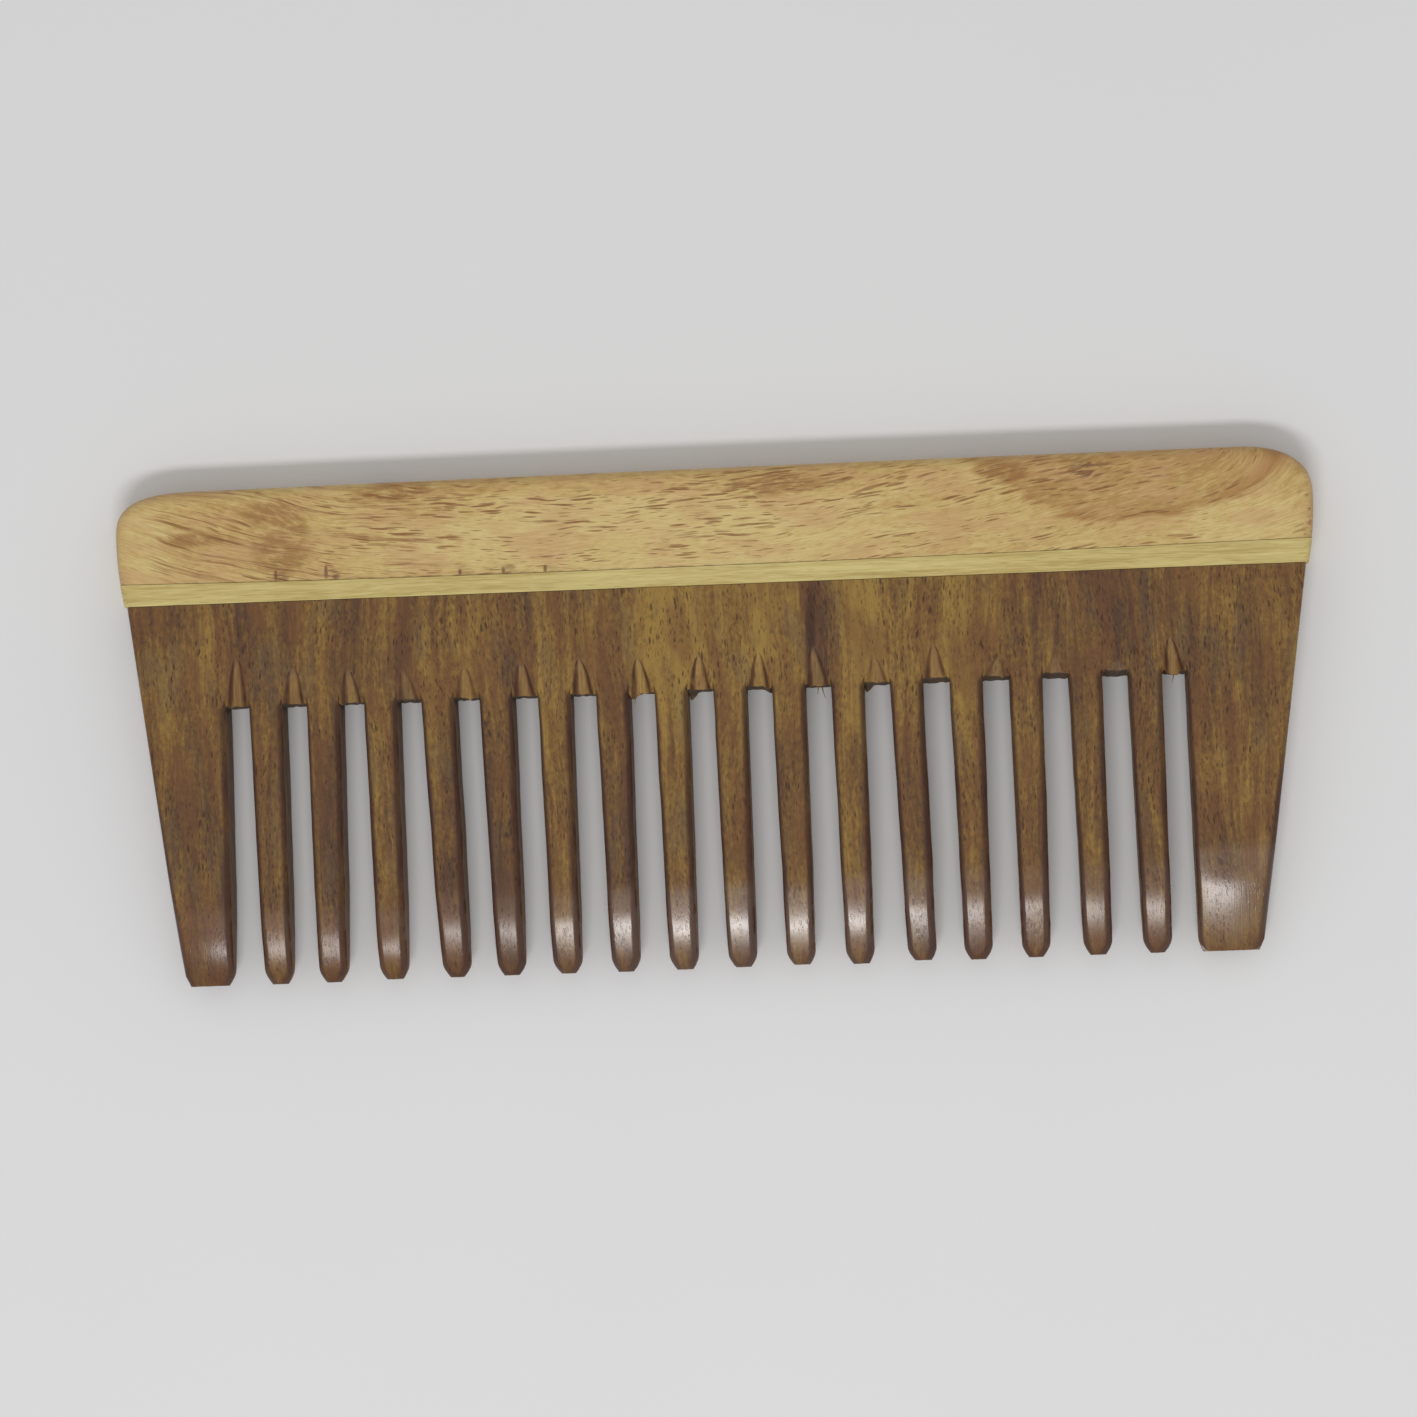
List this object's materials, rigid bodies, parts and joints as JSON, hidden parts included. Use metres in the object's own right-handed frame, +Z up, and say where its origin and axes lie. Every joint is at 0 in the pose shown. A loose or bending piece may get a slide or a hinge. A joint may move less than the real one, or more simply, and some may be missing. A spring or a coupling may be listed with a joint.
{
  "type": "wide tooth comb",
  "caption": "Handheld wooden hair comb with long wide-set teeth, a guard tooth at each end, and a light wood back joined to a dark blade by a pale strip.",
  "frame": {"origin": "under the middle of the comb's outline, on the surface the comb lies on", "axes": "+X along the comb's length, +Y towards its back, away from the teeth, +Z up through its thickness"},
  "size_m": [0.1516, 0.0634, 0.007],
  "materials": {
    "spine_wood": "light tan hardwood with fine red-brown pores, oiled satin",
    "strip_wood": "pale yellow wood, oiled satin",
    "blade_wood": "dark brown and golden streaked hardwood with fine dark pores, oiled satin, polished at the tips"
  },
  "bodies": {
    "root": {"spine": "spine_wood", "pale_strip": "strip_wood", "tooth_blade": "blade_wood"}
  },
  "joints": []
}
